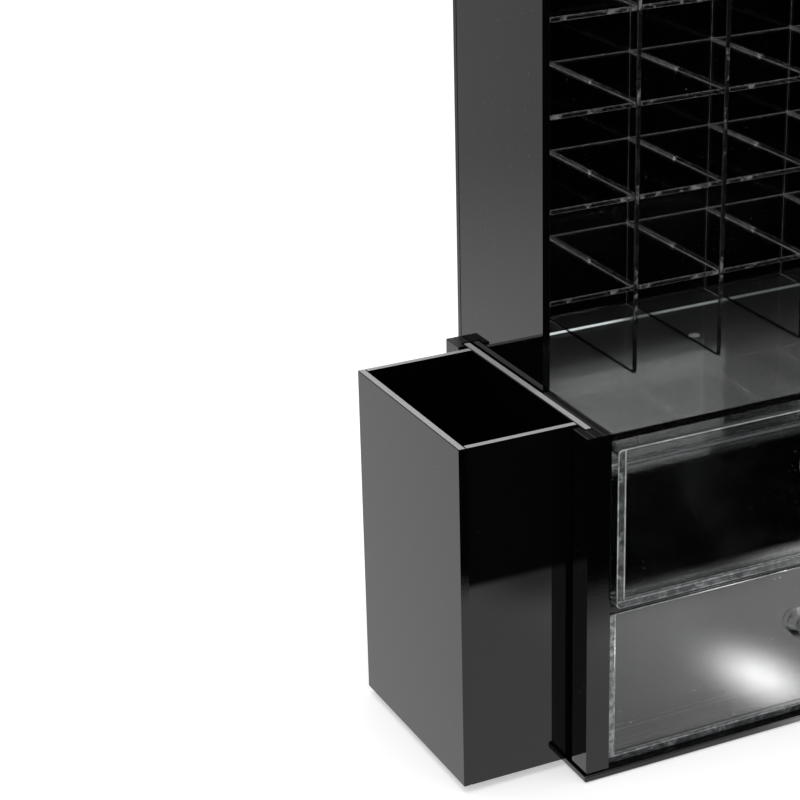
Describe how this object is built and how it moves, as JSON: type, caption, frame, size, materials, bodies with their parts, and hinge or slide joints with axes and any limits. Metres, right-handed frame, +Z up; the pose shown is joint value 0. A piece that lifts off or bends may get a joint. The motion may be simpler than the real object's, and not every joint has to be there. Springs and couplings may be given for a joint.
{
  "type": "brush holder with drawers",
  "caption": "Tabletop cosmetics tower: a two-drawer chest with a lipstick grid above it and a brush box that lifts out of rails on its side.",
  "frame": {"origin": "on the base plate's underside, below the middle of the drawers' width and midway along the side panels' depth", "axes": "+Z up; the drawers open towards -Y; the brush box hangs on the -X side"},
  "size_m": [0.2491, 0.1357, 0.325],
  "materials": {
    "black_acrylic": "cast black acrylic sheet with polished faces and lightly softened edges",
    "clear_acrylic": "clear acrylic sheet with polished faces and frosted sawn edges",
    "grid_acrylic": "thin clear acrylic sheet with bright cut edges",
    "drawer_acrylic": "clear acrylic drawer sheet, faintly scuffed, with frosted edges",
    "knob_acrylic": "clear turned acrylic",
    "screw_steel": "nickel-plated steel",
    "holder_acrylic": "black acrylic sheet with polished faces and dull grey sawn edges"
  },
  "bodies": {
    "tower": {"base_plate": "black_acrylic", "side_panel_left": "black_acrylic", "side_panel_right": "black_acrylic", "back_panel": "black_acrylic", "rail_spacer_front": "black_acrylic", "rail_spacer_rear": "black_acrylic", "rail_lip_front": "black_acrylic", "rail_lip_rear": "black_acrylic", "middle_shelf": "clear_acrylic", "chest_top": "clear_acrylic", "tower_top": "clear_acrylic", "upright_divider_1": "grid_acrylic", "upright_divider_2": "grid_acrylic", "upright_divider_3": "grid_acrylic", "upright_divider_4": "grid_acrylic", "grid_shelf_1": "grid_acrylic", "grid_shelf_2": "grid_acrylic", "grid_shelf_3": "grid_acrylic", "grid_shelf_4": "grid_acrylic"},
    "lower_drawer": {"lower_drawer_front": "drawer_acrylic", "lower_drawer_left_side": "drawer_acrylic", "lower_drawer_right_side": "drawer_acrylic", "lower_drawer_bottom": "drawer_acrylic", "lower_drawer_back": "drawer_acrylic", "lower_drawer_knob": "knob_acrylic", "lower_drawer_knob_screw": "screw_steel"},
    "upper_drawer": {"upper_drawer_front": "drawer_acrylic", "upper_drawer_left_side": "drawer_acrylic", "upper_drawer_right_side": "drawer_acrylic", "upper_drawer_bottom": "drawer_acrylic", "upper_drawer_back": "drawer_acrylic", "upper_drawer_knob": "knob_acrylic", "upper_drawer_knob_screw": "screw_steel"},
    "brush_holder": {"holder_back_plate": "holder_acrylic", "holder_outer_wall": "holder_acrylic", "holder_front_wall": "holder_acrylic", "holder_rear_wall": "holder_acrylic", "holder_floor": "holder_acrylic"}
  },
  "joints": [
    {"name": "lower_drawer_slide", "type": "slide", "parent": "tower", "child": "lower_drawer", "axis": [0, -1, 0], "range_m": [0, 0.09]},
    {"name": "upper_drawer_slide", "type": "slide", "parent": "tower", "child": "upper_drawer", "axis": [0, -1, 0], "range_m": [-0.0063, 0.0837]},
    {"name": "brush_holder_lift", "type": "slide", "parent": "tower", "child": "brush_holder", "axis": [0, 0, 1], "range_m": [0, 0.15]}
  ]
}
